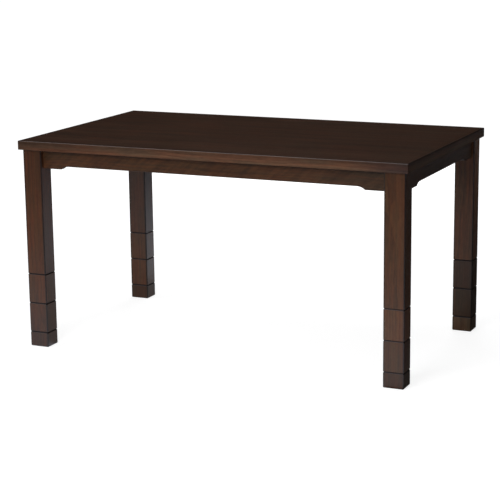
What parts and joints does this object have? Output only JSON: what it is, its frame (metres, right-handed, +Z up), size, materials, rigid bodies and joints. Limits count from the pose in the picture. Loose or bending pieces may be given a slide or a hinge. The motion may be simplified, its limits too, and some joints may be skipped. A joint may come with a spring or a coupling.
{
  "type": "kotatsu table",
  "caption": "Rectangular heated table with a lift-off top, aprons with coved shoulders, a fan heater hung inside the frame, and legs built up of screwed blocks.",
  "frame": {"origin": "on the floor, under the middle of the top, at the feet's lowest level", "axes": "+Z up, +X along the length, -Y towards the front long side"},
  "size_m": [1.35, 0.8, 0.7],
  "materials": {
    "top_veneer": "satin dark walnut stain",
    "top_edge": "satin dark walnut stain",
    "frame_wood": "satin walnut stain",
    "plain_wood": "planed, unfinished",
    "zinc_steel": "zinc plated",
    "pad_felt": "pressed felt",
    "heater_steel": "baked paint",
    "bright_metal": "bright rolled",
    "quartz": "clear quartz",
    "element_wire": "oxidised",
    "ceramic": "unglazed ceramic",
    "dark_plastic": "moulded",
    "motor_iron": "lacquered stack",
    "fan_metal": "stamped",
    "guard_wire": "plated wire"
  },
  "bodies": {
    "frame": {"top_pads": "pad_felt", "apron_front": "frame_wood", "apron_back": "frame_wood", "apron_left": "frame_wood", "apron_right": "frame_wood", "apron_dowels": "plain_wood", "frame_rails": "plain_wood", "corner_blocks": "plain_wood", "hanger_bolts": "zinc_steel", "flange_nuts": "zinc_steel", "leg_insert_nuts": "zinc_steel", "heater_casing": "heater_steel", "heater_screws": "zinc_steel", "heater_reflector": "bright_metal", "quartz_tubes": "quartz", "heating_elements": "element_wire", "tube_holders": "ceramic", "thermal_cutout": "dark_plastic", "fan_motor": "motor_iron", "wire_guard": "guard_wire", "cord_inlet": "dark_plastic", "leg_front_left": "frame_wood", "leg_front_right": "frame_wood", "leg_back_left": "frame_wood", "leg_back_right": "frame_wood"},
    "table_top": {"top_panel": "top_veneer", "top_edge_lipping": "top_edge"},
    "fan": {"fan_impeller": "fan_metal"},
    "front_left_extension_upper_carrier": {"front_left_extension_upper_stud": "zinc_steel"},
    "front_left_extension_upper": {"front_left_extension_upper": "frame_wood", "front_left_extension_upper_insert_nut": "zinc_steel"},
    "front_left_extension_lower_carrier": {"front_left_extension_lower_stud": "zinc_steel"},
    "front_left_extension_lower": {"front_left_extension_lower": "frame_wood", "front_left_extension_lower_insert_nut": "zinc_steel"},
    "front_left_foot_carrier": {"front_left_foot_stud": "zinc_steel"},
    "front_left_foot": {"front_left_foot": "frame_wood"},
    "front_right_extension_upper_carrier": {"front_right_extension_upper_stud": "zinc_steel"},
    "front_right_extension_upper": {"front_right_extension_upper": "frame_wood", "front_right_extension_upper_insert_nut": "zinc_steel"},
    "front_right_extension_lower_carrier": {"front_right_extension_lower_stud": "zinc_steel"},
    "front_right_extension_lower": {"front_right_extension_lower": "frame_wood", "front_right_extension_lower_insert_nut": "zinc_steel"},
    "front_right_foot_carrier": {"front_right_foot_stud": "zinc_steel"},
    "front_right_foot": {"front_right_foot": "frame_wood"},
    "back_left_extension_upper_carrier": {"back_left_extension_upper_stud": "zinc_steel"},
    "back_left_extension_upper": {"back_left_extension_upper": "frame_wood", "back_left_extension_upper_insert_nut": "zinc_steel"},
    "back_left_extension_lower_carrier": {"back_left_extension_lower_stud": "zinc_steel"},
    "back_left_extension_lower": {"back_left_extension_lower": "frame_wood", "back_left_extension_lower_insert_nut": "zinc_steel"},
    "back_left_foot_carrier": {"back_left_foot_stud": "zinc_steel"},
    "back_left_foot": {"back_left_foot": "frame_wood"},
    "back_right_extension_upper_carrier": {"back_right_extension_upper_stud": "zinc_steel"},
    "back_right_extension_upper": {"back_right_extension_upper": "frame_wood", "back_right_extension_upper_insert_nut": "zinc_steel"},
    "back_right_extension_lower_carrier": {"back_right_extension_lower_stud": "zinc_steel"},
    "back_right_extension_lower": {"back_right_extension_lower": "frame_wood", "back_right_extension_lower_insert_nut": "zinc_steel"},
    "back_right_foot_carrier": {"back_right_foot_stud": "zinc_steel"},
    "back_right_foot": {"back_right_foot": "frame_wood"}
  },
  "joints": [
    {"name": "top_lift", "type": "slide", "parent": "frame", "child": "table_top", "axis": [0, 0, 1], "range_m": [0, 0.15]},
    {"name": "fan_spin", "type": "hinge", "parent": "frame", "child": "fan", "pos_m": [0, 0, 0.629], "axis": [0, 0, 1], "continuous": true},
    {"name": "front_left_extension_upper_drop", "type": "slide", "parent": "frame", "child": "front_left_extension_upper_carrier", "axis": [0, 0, -1], "range_m": [0, 0.02]},
    {"name": "front_left_extension_upper_unscrew", "type": "hinge", "parent": "front_left_extension_upper_carrier", "child": "front_left_extension_upper", "pos_m": [-0.629, -0.357, 0.25], "axis": [0, 0, -1], "range_deg": [0, 5760]},
    {"name": "front_left_extension_lower_drop", "type": "slide", "parent": "front_left_extension_upper", "child": "front_left_extension_lower_carrier", "axis": [0, 0, -1], "range_m": [0, 0.02]},
    {"name": "front_left_extension_lower_unscrew", "type": "hinge", "parent": "front_left_extension_lower_carrier", "child": "front_left_extension_lower", "pos_m": [-0.629, -0.357, 0.15], "axis": [0, 0, -1], "range_deg": [0, 5760]},
    {"name": "front_left_foot_drop", "type": "slide", "parent": "front_left_extension_lower", "child": "front_left_foot_carrier", "axis": [0, 0, -1], "range_m": [0, 0.02]},
    {"name": "front_left_foot_unscrew", "type": "hinge", "parent": "front_left_foot_carrier", "child": "front_left_foot", "pos_m": [-0.629, -0.357, 0.05], "axis": [0, 0, -1], "range_deg": [0, 5760]},
    {"name": "front_right_extension_upper_drop", "type": "slide", "parent": "frame", "child": "front_right_extension_upper_carrier", "axis": [0, 0, -1], "range_m": [0, 0.02]},
    {"name": "front_right_extension_upper_unscrew", "type": "hinge", "parent": "front_right_extension_upper_carrier", "child": "front_right_extension_upper", "pos_m": [0.629, -0.357, 0.25], "axis": [0, 0, -1], "range_deg": [0, 5760]},
    {"name": "front_right_extension_lower_drop", "type": "slide", "parent": "front_right_extension_upper", "child": "front_right_extension_lower_carrier", "axis": [0, 0, -1], "range_m": [0, 0.02]},
    {"name": "front_right_extension_lower_unscrew", "type": "hinge", "parent": "front_right_extension_lower_carrier", "child": "front_right_extension_lower", "pos_m": [0.629, -0.357, 0.15], "axis": [0, 0, -1], "range_deg": [0, 5760]},
    {"name": "front_right_foot_drop", "type": "slide", "parent": "front_right_extension_lower", "child": "front_right_foot_carrier", "axis": [0, 0, -1], "range_m": [0, 0.02]},
    {"name": "front_right_foot_unscrew", "type": "hinge", "parent": "front_right_foot_carrier", "child": "front_right_foot", "pos_m": [0.629, -0.357, 0.05], "axis": [0, 0, -1], "range_deg": [0, 5760]},
    {"name": "back_left_extension_upper_drop", "type": "slide", "parent": "frame", "child": "back_left_extension_upper_carrier", "axis": [0, 0, -1], "range_m": [0, 0.02]},
    {"name": "back_left_extension_upper_unscrew", "type": "hinge", "parent": "back_left_extension_upper_carrier", "child": "back_left_extension_upper", "pos_m": [-0.629, 0.357, 0.25], "axis": [0, 0, -1], "range_deg": [0, 5760]},
    {"name": "back_left_extension_lower_drop", "type": "slide", "parent": "back_left_extension_upper", "child": "back_left_extension_lower_carrier", "axis": [0, 0, -1], "range_m": [0, 0.02]},
    {"name": "back_left_extension_lower_unscrew", "type": "hinge", "parent": "back_left_extension_lower_carrier", "child": "back_left_extension_lower", "pos_m": [-0.629, 0.357, 0.15], "axis": [0, 0, -1], "range_deg": [0, 5760]},
    {"name": "back_left_foot_drop", "type": "slide", "parent": "back_left_extension_lower", "child": "back_left_foot_carrier", "axis": [0, 0, -1], "range_m": [0, 0.02]},
    {"name": "back_left_foot_unscrew", "type": "hinge", "parent": "back_left_foot_carrier", "child": "back_left_foot", "pos_m": [-0.629, 0.357, 0.05], "axis": [0, 0, -1], "range_deg": [0, 5760]},
    {"name": "back_right_extension_upper_drop", "type": "slide", "parent": "frame", "child": "back_right_extension_upper_carrier", "axis": [0, 0, -1], "range_m": [0, 0.02]},
    {"name": "back_right_extension_upper_unscrew", "type": "hinge", "parent": "back_right_extension_upper_carrier", "child": "back_right_extension_upper", "pos_m": [0.629, 0.357, 0.25], "axis": [0, 0, -1], "range_deg": [0, 5760]},
    {"name": "back_right_extension_lower_drop", "type": "slide", "parent": "back_right_extension_upper", "child": "back_right_extension_lower_carrier", "axis": [0, 0, -1], "range_m": [0, 0.02]},
    {"name": "back_right_extension_lower_unscrew", "type": "hinge", "parent": "back_right_extension_lower_carrier", "child": "back_right_extension_lower", "pos_m": [0.629, 0.357, 0.15], "axis": [0, 0, -1], "range_deg": [0, 5760]},
    {"name": "back_right_foot_drop", "type": "slide", "parent": "back_right_extension_lower", "child": "back_right_foot_carrier", "axis": [0, 0, -1], "range_m": [0, 0.02]},
    {"name": "back_right_foot_unscrew", "type": "hinge", "parent": "back_right_foot_carrier", "child": "back_right_foot", "pos_m": [0.629, 0.357, 0.05], "axis": [0, 0, -1], "range_deg": [0, 5760]}
  ],
  "couplings": [
    {"joint": "front_left_extension_upper_drop", "follows": "front_left_extension_upper_unscrew", "m_per_rad": 0.00019894},
    {"joint": "front_left_extension_lower_drop", "follows": "front_left_extension_lower_unscrew", "m_per_rad": 0.00019894},
    {"joint": "front_left_foot_drop", "follows": "front_left_foot_unscrew", "m_per_rad": 0.00019894},
    {"joint": "front_right_extension_upper_drop", "follows": "front_right_extension_upper_unscrew", "m_per_rad": 0.00019894},
    {"joint": "front_right_extension_lower_drop", "follows": "front_right_extension_lower_unscrew", "m_per_rad": 0.00019894},
    {"joint": "front_right_foot_drop", "follows": "front_right_foot_unscrew", "m_per_rad": 0.00019894},
    {"joint": "back_left_extension_upper_drop", "follows": "back_left_extension_upper_unscrew", "m_per_rad": 0.00019894},
    {"joint": "back_left_extension_lower_drop", "follows": "back_left_extension_lower_unscrew", "m_per_rad": 0.00019894},
    {"joint": "back_left_foot_drop", "follows": "back_left_foot_unscrew", "m_per_rad": 0.00019894},
    {"joint": "back_right_extension_upper_drop", "follows": "back_right_extension_upper_unscrew", "m_per_rad": 0.00019894},
    {"joint": "back_right_extension_lower_drop", "follows": "back_right_extension_lower_unscrew", "m_per_rad": 0.00019894},
    {"joint": "back_right_foot_drop", "follows": "back_right_foot_unscrew", "m_per_rad": 0.00019894}
  ]
}
